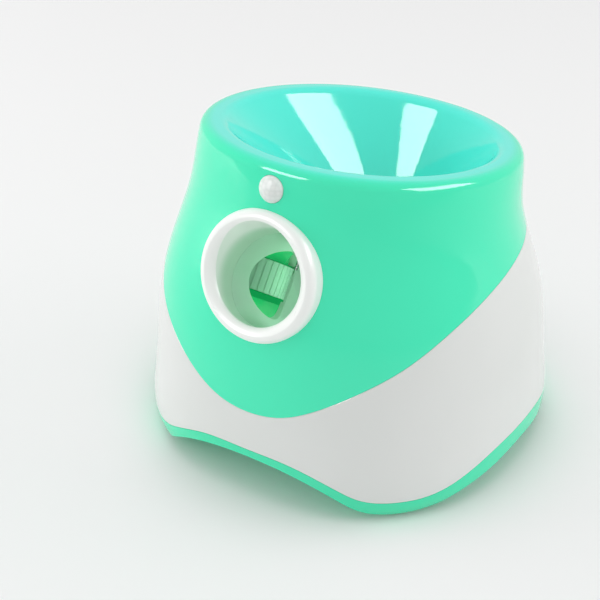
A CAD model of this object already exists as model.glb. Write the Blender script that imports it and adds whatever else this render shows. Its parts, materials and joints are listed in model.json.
import bpy
import json
from math import cos, pi, radians, sin
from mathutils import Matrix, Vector


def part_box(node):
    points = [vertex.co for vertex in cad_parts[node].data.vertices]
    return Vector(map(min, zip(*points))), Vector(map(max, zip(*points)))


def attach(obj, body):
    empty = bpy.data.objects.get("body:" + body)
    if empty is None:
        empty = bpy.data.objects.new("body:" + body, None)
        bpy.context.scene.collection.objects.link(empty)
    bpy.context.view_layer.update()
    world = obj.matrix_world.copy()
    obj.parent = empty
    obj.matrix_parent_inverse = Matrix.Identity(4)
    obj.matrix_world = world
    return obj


# Automatic ball launcher for dogs, in metres, +Z up, the launch mouth faces -Y

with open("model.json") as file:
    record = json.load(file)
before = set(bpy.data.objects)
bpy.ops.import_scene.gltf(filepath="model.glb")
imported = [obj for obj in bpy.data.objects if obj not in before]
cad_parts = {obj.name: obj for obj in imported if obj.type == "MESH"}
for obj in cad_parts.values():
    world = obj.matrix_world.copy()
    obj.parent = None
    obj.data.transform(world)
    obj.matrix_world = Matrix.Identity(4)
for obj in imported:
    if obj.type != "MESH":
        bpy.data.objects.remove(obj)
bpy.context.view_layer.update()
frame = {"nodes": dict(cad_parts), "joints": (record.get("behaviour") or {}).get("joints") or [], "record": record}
cadNodes = frame["nodes"]
print("frame loaded,", len(cadNodes), "nodes")


def srgb(hexCode):
    # sRGB hex to linear colour
    code = hexCode.lstrip("#")
    parts = [int(code[i:i + 2], 16) / 255 for i in (0, 2, 4)]
    return tuple(c / 12.92 if c <= 0.04045 else ((c + 0.055) / 1.055) ** 2.4 for c in parts) + (1.0,)


def perMetre(sizeMm):
    # texture scale that repeats a pattern every so many millimetres
    return 1000 / sizeMm


def addNode(tree, kind, settings=None, links=None):
    # settings: input name or number, or attribute -> value; links: input name or number -> output socket
    node = tree.nodes.new(kind)
    for key, value in (settings or {}).items():
        if isinstance(key, int) or key in node.inputs:
            node.inputs[key].default_value = value
        else:
            setattr(node, key, value)
    for key, socket in (links or {}).items():
        tree.links.new(socket, node.inputs[key])
    return node


def newMaterial(name, settings):
    material = bpy.data.materials.new(name)
    material.use_nodes = True
    tree = material.node_tree
    tree.nodes.clear()
    shader = addNode(tree, "ShaderNodeBsdfPrincipled", settings)
    addNode(tree, "ShaderNodeOutputMaterial", None, {"Surface": shader.outputs["BSDF"]})
    coords = addNode(tree, "ShaderNodeTexCoord")
    return material, tree, shader, coords.outputs["Object"]


def noiseOf(tree, place, sizeMm, detail=2.0, distortion=0.0):
    settings = {"Scale": perMetre(sizeMm), "Detail": detail, "Distortion": distortion}
    return addNode(tree, "ShaderNodeTexNoise", settings, {"Vector": place}).outputs["Fac"]


def tintBetween(tree, factor, firstHex, secondHex):
    # inputs 6 and 7 and output 2 are the colours of this node
    settings = {"data_type": "RGBA", 6: srgb(firstHex), 7: srgb(secondHex)}
    return addNode(tree, "ShaderNodeMix", settings, {"Factor": factor}).outputs[2]


def tintedBy(tree, shader, place, darkHex, lightHex, patchMm, detail=2.0):
    # two close shades of one colour, mixed by slow noise
    ramp = addNode(tree, "ShaderNodeValToRGB", None, {"Fac": noiseOf(tree, place, patchMm, detail)})
    for stop, position, hexCode in zip(ramp.color_ramp.elements, (0.3, 0.7), (darkHex, lightHex)):
        stop.position = position
        stop.color = srgb(hexCode)
    tree.links.new(ramp.outputs["Color"], shader.inputs["Base Color"])


def roughnessBy(tree, shader, place, rough, patchMm):
    # patches of slightly glossier and duller skin
    spread = addNode(tree, "ShaderNodeMapRange", {"To Min": rough[0], "To Max": rough[1]},
                     {"Value": noiseOf(tree, place, patchMm, detail=3.0)})
    tree.links.new(spread.outputs["Result"], shader.inputs["Roughness"])


def bumpFrom(tree, shader, height, depthMm):
    bump = addNode(tree, "ShaderNodeBump", {"Distance": depthMm / 1000, "Strength": 1.0}, {"Height": height})
    tree.links.new(bump.outputs["Normal"], shader.inputs["Normal"])


def nearOrFar(tree, place, centre, reach, nearHex, farHex):
    # one colour within the smaller distance of a place on the object, another past the larger
    gap = addNode(tree, "ShaderNodeVectorMath", {"operation": "DISTANCE", 1: centre}, {0: place})
    settings = {"interpolation_type": "SMOOTHSTEP", "From Min": reach[0], "From Max": reach[1]}
    blend = addNode(tree, "ShaderNodeMapRange", settings, {"Value": gap.outputs["Value"]})
    return tintBetween(tree, blend.outputs["Result"], nearHex, farHex)


def mouldedPlastic(name, darkHex, lightHex, rough, coat=0.25, grainMm=0.0, grainDepthMm=0.0, glow=None):
    # injection-moulded ABS, nylon or PBT: even colour with a faint flow variation, smooth skin
    settings = {"IOR": 1.53, "Coat Weight": coat, "Coat Roughness": 0.05, "Coat IOR": 1.5}
    if glow:
        settings.update({"Emission Color": srgb(glow[0]), "Emission Strength": glow[1]})
    material, tree, shader, place = newMaterial(name, settings)
    tintedBy(tree, shader, place, darkHex, lightHex, patchMm=111)
    roughnessBy(tree, shader, place, rough, patchMm=16.7)
    if grainMm:
        bumpFrom(tree, shader, noiseOf(tree, place, grainMm), grainDepthMm)
    return material


def shellAbs(name, wallHex, funnelHex, centre, reach):
    # the same glossy ABS, cooler where the funnel and its lip gather the light from above
    settings = {"IOR": 1.53, "Coat Weight": 0.15, "Coat Roughness": 0.04, "Coat IOR": 1.5}
    material, tree, shader, place = newMaterial(name, settings)
    tint = nearOrFar(tree, place, centre, reach, funnelHex, wallHex)
    drift = addNode(tree, "ShaderNodeMapRange", {"To Min": 0.97, "To Max": 1.0},
                    {"Value": noiseOf(tree, place, sizeMm=143)})
    shade = addNode(tree, "ShaderNodeVectorMath", {"operation": "SCALE"},
                    {0: tint, "Scale": drift.outputs["Result"]})
    tree.links.new(shade.outputs["Vector"], shader.inputs["Base Color"])
    roughnessBy(tree, shader, place, (0.06, 0.10), patchMm=16.7)
    return material


def ringAbs(name, faceHex, throatHex, centre, reach):
    # satin white ABS; its throat picks up the green light of the barrel
    material, tree, shader, place = newMaterial(name, {"IOR": 1.53})
    tint = nearOrFar(tree, place, centre, reach, throatHex, faceHex)
    tree.links.new(tint, shader.inputs["Base Color"])
    roughnessBy(tree, shader, place, (0.26, 0.32), patchMm=16.7)
    return material


def lensPlastic(name, darkHex, lightHex, facetMm):
    # milky polyethylene of a sensor dome, pressed into small facets that each bend the light
    milky = {"IOR": 1.51, "Subsurface Weight": 0.25, "Subsurface Radius": (0.004, 0.004, 0.004),
             "Subsurface Scale": 0.5}
    material, tree, shader, place = newMaterial(name, milky)
    settings = {"Scale": perMetre(facetMm), "Randomness": 0.25}
    facets = addNode(tree, "ShaderNodeTexVoronoi", settings, {"Vector": place})
    rise = addNode(tree, "ShaderNodeMapRange", {"From Max": 0.7}, {"Value": facets.outputs["Distance"]})
    tint = tintBetween(tree, rise.outputs["Result"], lightHex, darkHex)
    tree.links.new(tint, shader.inputs["Base Color"])
    roughnessBy(tree, shader, place, (0.3, 0.4), patchMm=3.33)
    bumpFrom(tree, shader, facets.outputs["Distance"], depthMm=0.4)
    return material


def mouldedRubber(name, darkHex, lightHex, grainMm=0.8, rough=(0.55, 0.7), glow=0.0):
    # moulded elastomer: dull, with the fine grain of a blasted mould; glow lets light into a pale one
    settings = {"IOR": 1.52, "Subsurface Weight": glow, "Subsurface Radius": (0.005, 0.007, 0.005),
                "Subsurface Scale": 1.0}
    material, tree, shader, place = newMaterial(name, settings)
    tintedBy(tree, shader, place, darkHex, lightHex, patchMm=25, detail=3.0)
    roughnessBy(tree, shader, place, rough, patchMm=5)
    bumpFrom(tree, shader, noiseOf(tree, place, grainMm, detail=3.0), depthMm=0.08)
    return material


def turnedMetal(name, darkHex, lightHex, rough=(0.22, 0.34), lineMm=2.51):
    # drawn or turned metal: parallel tool lines and slightly blurred highlights; the real lines are some
    # 0.2 mm apart, too fine to show, and are drawn coarser
    material, tree, shader, place = newMaterial(name, {"Metallic": 1.0, "Anisotropic": 0.4})
    tintedBy(tree, shader, place, darkHex, lightHex, patchMm=12.5)
    roughnessBy(tree, shader, place, rough, patchMm=2.5)
    waveAtOne = 2 * pi / 20     # length of one wave at scale 1
    settings = {"Scale": waveAtOne * perMetre(lineMm), "Distortion": 1.5, "bands_direction": "Z"}
    lines = addNode(tree, "ShaderNodeTexWave", settings, {"Vector": place})
    bumpFrom(tree, shader, lines.outputs["Fac"], depthMm=0.01)
    return material


def solderMask(name, maskHex, trackHex, trackMm):
    # glass-epoxy board under green solder mask: copper tracks show through as lighter, raised lines
    mask = {"IOR": 1.55, "Coat Weight": 0.3, "Coat Roughness": 0.1}
    material, tree, shader, place = newMaterial(name, mask)
    # the row height of half a unit makes the rows one trackMm apart
    settings = {"Scale": perMetre(2 * trackMm), "Row Height": 0.5, "Brick Width": 2.6, "Mortar Size": 0.09,
                "Mortar Smooth": 0.2, "Color1": srgb(maskHex), "Color2": srgb(maskHex),
                "Mortar": srgb(trackHex)}
    tracks = addNode(tree, "ShaderNodeTexBrick", settings, {"Vector": place})
    tree.links.new(tracks.outputs["Color"], shader.inputs["Base Color"])
    roughnessBy(tree, shader, place, (0.28, 0.38), patchMm=3.33)
    bumpFrom(tree, shader, tracks.outputs["Fac"], depthMm=0.03)
    return material


def sleevedCan(name, sleeveHex, canHex):
    # aluminium can in a shrunk PVC sleeve: the bare metal shows on the flat top
    material, tree, shader, place = newMaterial(name, {"IOR": 1.5})
    facing = addNode(tree, "ShaderNodeNewGeometry")
    split = addNode(tree, "ShaderNodeSeparateXYZ", None, {"Vector": facing.outputs["Normal"]})
    top = addNode(tree, "ShaderNodeMapRange", {"From Min": 0.9, "From Max": 0.95},
                  {"Value": split.outputs["Z"]})
    tint = tintBetween(tree, top.outputs["Result"], sleeveHex, canHex)
    tree.links.new(tint, shader.inputs["Base Color"])
    tree.links.new(top.outputs["Result"], shader.inputs["Metallic"])
    roughnessBy(tree, shader, place, (0.22, 0.34), patchMm=2)
    return material


def shrinkWrap(name, darkHex, lightHex, foldMm):
    # thin PVC film shrunk over a cell: glossy, with fine folds where it drew tight
    settings = {"IOR": 1.53, "Coat Weight": 0.4, "Coat Roughness": 0.08}
    material, tree, shader, place = newMaterial(name, settings)
    tintedBy(tree, shader, place, darkHex, lightHex, patchMm=33.3, detail=3.0)
    roughnessBy(tree, shader, place, (0.18, 0.3), patchMm=8.33)
    bumpFrom(tree, shader, noiseOf(tree, place, foldMm, distortion=0.6), depthMm=0.06)
    return material


def clearAcrylic(name, darkHex, lightHex):
    # small light pipes of tinted acrylic, frosted a little by the mould
    material, tree, shader, place = newMaterial(name, {"IOR": 1.49, "Transmission Weight": 0.55})
    tintedBy(tree, shader, place, darkHex, lightHex, patchMm=6.67)
    roughnessBy(tree, shader, place, (0.08, 0.18), patchMm=2.5)
    return material


finish = {material.name: material for material in (
    shellAbs("mintGlossAbs", "#3DF0BE", "#54F2E0", centre=(0.0, 0.0137, 0.1978), reach=(0.091, 0.099)),
    mouldedPlastic("mintPanAbs", "#34E4AE", "#3CE9B6", rough=(0.12, 0.18)),
    mouldedPlastic("whiteGlossAbs", "#DCDFDC", "#E1E3E1", rough=(0.14, 0.2), coat=0.2),
    ringAbs("whiteRingAbs", "#F6F9F6", "#C2DECB", centre=(0.0, -0.083, 0.137), reach=(0.031, 0.037)),
    lensPlastic("sensorLensPe", "#E2E9E5", "#F4F8F5", facetMm=3.0),
    mouldedPlastic("barrelAbs", "#BEDCCA", "#C8E2D3", rough=(0.2, 0.3)),
    mouldedPlastic("emeraldAbs", "#16A85C", "#24B86C", rough=(0.16, 0.24), glow=("#1AA860", 0.5)),
    mouldedPlastic("naturalAbs", "#D4D8D6", "#DEE1DF", rough=(0.35, 0.45), coat=0.0, grainMm=0.6,
                   grainDepthMm=0.02),
    clearAcrylic("lampAcrylic", "#CFEBDA", "#E2F5E9"),
    solderMask("boardSolderMask", "#0E5C34", "#1C7F4B", trackMm=1.2),
    mouldedPlastic("connectorNylon", "#E2DCC6", "#EBE6D3", rough=(0.35, 0.45), coat=0.0),
    sleevedCan("capacitorCan", "#1B2A4A", "#C9CBCD"),
    shrinkWrap("cellShrinkWrap", "#1F6FA6", "#2A80BA", foldMm=3.0),
    turnedMetal("nickelledMotorCan", "#B4B2AC", "#C8C6C0", rough=(0.18, 0.28), lineMm=5.03),
    turnedMetal("groundShaftSteel", "#B9BBBD", "#CDCFD1", rough=(0.12, 0.2), lineMm=1.57),
    turnedMetal("stainlessSocket", "#9FA2A4", "#B2B5B7", rough=(0.25, 0.35), lineMm=1.88),
    mouldedPlastic("chipEpoxy", "#1B1C1E", "#26282A", rough=(0.45, 0.6), coat=0.0, grainMm=0.3,
                   grainDepthMm=0.015),
    mouldedPlastic("hubNylon", "#8FA39A", "#9AAEA5", rough=(0.35, 0.45), coat=0.0),
    mouldedPlastic("blackPbt", "#141516", "#1D1F20", rough=(0.35, 0.5), coat=0.0, grainMm=0.3,
                   grainDepthMm=0.01),
    mouldedPlastic("panelAbs", "#D5D9D8", "#DFE2E1", rough=(0.3, 0.38), grainMm=0.5, grainDepthMm=0.02),
    mouldedPlastic("buttonAbs", "#2FD6A6", "#3BE0B2", rough=(0.15, 0.22)),
    mouldedRubber("footRubber", "#1E2021", "#2A2C2D"),
    mouldedRubber("treadRubber", "#98C4AC", "#A4CCB6", grainMm=0.5, rough=(0.45, 0.6), glow=0.6),
    turnedMetal("zincSteel", "#A9ABAC", "#BDBFC0"),
    turnedMetal("turnedBrass", "#B8944F", "#CBA85F"),
)}
slotFinish = {
    "mint_shell": "mintGlossAbs", "white_shell": "whiteGlossAbs", "barrel_plastic": "barrelAbs",
    "emerald_plastic": "emeraldAbs", "inner_plastic": "naturalAbs", "rubber": "footRubber",
    "tread": "treadRubber", "hub_plastic": "hubNylon", "steel": "zincSteel", "black_plastic": "blackPbt",
    "lens": "sensorLensPe", "lamp": "lampAcrylic", "panel": "panelAbs", "button": "buttonAbs",
    "board_green": "boardSolderMask", "connector": "connectorNylon", "capacitor": "capacitorCan",
    "cell_wrap": "cellShrinkWrap", "pillar": "turnedBrass",
}
# nodes whose own finish differs from the rest of their slot
nodeFinish = {
    "base_pan": "mintPanAbs", "nozzle_ring": "whiteRingAbs", "main_chip": "chipEpoxy",
    "usb_socket": "stainlessSocket", "left_motor": "nickelledMotorCan", "right_motor": "nickelledMotorCan",
    "motion_sensor": "nickelledMotorCan", "left_motor_shaft": "groundShaftSteel",
    "right_motor_shaft": "groundShaftSteel", "lever_pin": "groundShaftSteel",
}
nodeSlots = {s["node"]: s["material_slot"] for s in frame["record"]["subparts"]}
for nodeName, node in cadNodes.items():
    node.data.materials.clear()
    node.data.materials.append(finish[nodeFinish.get(nodeName) or slotFinish[nodeSlots[nodeName]]])
print("materials set on", len(cadNodes), "nodes")


# return spring of the ball lever: a small wire coil on the pin, between the eye and the cheek
leverSpring = {
    "wireMm": 0.3, "coilMm": 1.65, "turns": 2, "pitchMm": 0.31,
    "besideMm": 4.2,          # from the middle of the lever to the first turn
    "bladeRise": 11.5,        # degrees, the blade of the lever at rest
    "bladeLegMm": 8.0, "hookMm": 2.0, "restLegMm": 3.4,
    "pointsPerTurn": 24, "bevelSteps": 3,
}


def makeLeverSpring():
    pivot = Vector(next(j["pos_m"] for j in frame["joints"] if j["name"] == "ball_lever_pivot"))
    rise = radians(leverSpring["bladeRise"])
    along = Vector((0, -cos(rise), sin(rise)))      # from the pivot along the blade
    upward = Vector((0, sin(rise), cos(rise)))
    coil = leverSpring["coilMm"]

    def spot(side, reach, height):
        return pivot + (Vector((side, 0, 0)) + along * reach + upward * height) / 1000

    # hook under the blade, leg, coil from its lowest point round the pin, and the other leg
    side = leverSpring["besideMm"]
    points = [spot(side - leverSpring["hookMm"], leverSpring["bladeLegMm"], -coil),
              spot(side, leverSpring["bladeLegMm"], -coil)]
    for i in range(leverSpring["turns"] * leverSpring["pointsPerTurn"] + 1):
        turned = i / leverSpring["pointsPerTurn"]
        angle = radians(-90 - 360 * turned)
        side = leverSpring["besideMm"] + leverSpring["pitchMm"] * turned
        points.append(spot(side, coil * cos(angle), coil * sin(angle)))
    points.append(spot(side, -leverSpring["restLegMm"], -coil))

    wire = bpy.data.curves.new("lever_spring", "CURVE")
    wire.dimensions = "3D"
    wire.bevel_depth = leverSpring["wireMm"] / 2 / 1000
    wire.bevel_resolution = leverSpring["bevelSteps"]
    wire.use_fill_caps = True
    line = wire.splines.new("POLY")
    line.points.add(len(points) - 1)
    for point, place in zip(line.points, points):
        point.co = (*place, 1.0)
    wire.materials.append(finish["groundShaftSteel"])
    spring = bpy.data.objects.new("lever_spring", wire)
    bpy.context.collection.objects.link(spring)
    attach(spring, "lever")


makeLeverSpring()
print("lever spring made")


# studio: pale paper floor, even white surroundings, two gloss windows, three soft panels, one lamp inside
studioMiddle = Vector((0, 0, 0.15))
floorPaper = {"colour": "#F2F2F2", "roughness": 0.75, "reach": 6.0}
surroundings = {"colour": "#FFFFFF", "strength": 0.74}
glossWindows = {        # the two bright windows that the funnel and the lip mirror
    "leftWindow": {"azimuth": -26, "elevation": 33, "far": 1.3, "size": (0.7, 0.42), "watts": 8.6},
    "rightWindow": {"azimuth": 101, "elevation": 38, "far": 1.3, "size": (1.12, 0.5), "watts": 16.0},
}
softPanels = {          # large weak panels that shape the sides
    "leftPanel": {"azimuth": -72, "elevation": 6, "far": 1.6, "size": (1.4, 0.9), "watts": 11.0},
    "rightPanel": {"azimuth": 125, "elevation": 12, "far": 1.6, "size": (1.2, 1.0), "watts": 6.0},
    "topPanel": {"azimuth": 0, "elevation": 88, "far": 1.6, "size": (1.2, 1.2), "watts": 5.0},
}
wheelGlow = {"colour": "#D2F0DC", "radius": 0.012, "watts": 0.026}
cameraSetup = {"azimuth": 32.23, "elevation": 32.13, "distance": 1.0067, "target": (0, -0.0175, 0.0966),
               "lens": 94.71, "filmWidth": 36, "shift": (-0.0601, -0.0167), "nearest": 0.05}


def outward(azimuth, elevation):
    # unit direction in degrees, azimuth from the front towards +X
    az, el = radians(azimuth), radians(elevation)
    return Vector((sin(az) * cos(el), -cos(az) * cos(el), sin(el)))


def addToScene(name, data):
    thing = bpy.data.objects.new(name, data)
    bpy.context.collection.objects.link(thing)
    return thing


def makeFloor():
    mesh = bpy.data.meshes.new("studioFloor")
    reach = floorPaper["reach"]
    corners = [(-reach, -reach, 0), (reach, -reach, 0), (reach, reach, 0), (-reach, reach, 0)]
    mesh.from_pydata(corners, [], [(0, 1, 2, 3)])
    material = newMaterial("paperFloor", {"Roughness": floorPaper["roughness"],
                                          "Base Color": srgb(floorPaper["colour"])})[0]
    mesh.materials.append(material)
    addToScene("studioFloor", mesh)


def makeWorld():
    world = bpy.data.worlds.new("studio")
    world.use_nodes = True
    back = world.node_tree.nodes["Background"]
    back.inputs["Color"].default_value = srgb(surroundings["colour"])
    back.inputs["Strength"].default_value = surroundings["strength"]
    bpy.context.scene.world = world


def makeSoftbox(name, box, inGloss):
    # either seen in the gloss and nothing else, or lighting the surfaces without being mirrored
    light = bpy.data.lights.new(name, "AREA")
    light.shape = "RECTANGLE"
    light.size, light.size_y = box["size"]
    light.energy = box["watts"]
    lamp = addToScene(name, light)
    lamp.location = outward(box["azimuth"], box["elevation"]) * box["far"] + studioMiddle
    lamp.rotation_euler = (studioMiddle - lamp.location).to_track_quat("-Z", "Y").to_euler()
    lamp.visible_glossy = inGloss
    lamp.visible_diffuse = not inGloss
    lamp.visible_camera = False


def makeWheelGlow():
    # daylight that the thin shell lets through to the wheels
    low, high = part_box("right_tyre")
    light = bpy.data.lights.new("wheelGlow", "POINT")
    light.shadow_soft_size = wheelGlow["radius"]
    light.energy = wheelGlow["watts"]
    light.color = srgb(wheelGlow["colour"])[:3]
    lamp = addToScene("wheelGlow", light)
    lamp.location = (0.0, (low[1] + high[1]) / 2, (low[2] + high[2]) / 2)
    lamp.visible_camera = False
    lamp.visible_glossy = False


def makeCamera():
    data = bpy.data.cameras.new("camera")
    data.lens = cameraSetup["lens"]
    data.sensor_width = cameraSetup["filmWidth"]
    data.shift_x, data.shift_y = cameraSetup["shift"]
    data.clip_start = cameraSetup["nearest"]
    camera = addToScene("camera", data)
    out = outward(cameraSetup["azimuth"], cameraSetup["elevation"])
    camera.location = Vector(cameraSetup["target"]) + out * cameraSetup["distance"]
    camera.rotation_euler = (-out).to_track_quat("-Z", "Y").to_euler()
    bpy.context.scene.camera = camera


bpy.context.scene.view_settings.view_transform = "Standard"
makeFloor()
makeWorld()
for boxName, box in glossWindows.items():
    makeSoftbox(boxName, box, inGloss=True)
for boxName, box in softPanels.items():
    makeSoftbox(boxName, box, inGloss=False)
makeWheelGlow()
makeCamera()
print("studio ready")
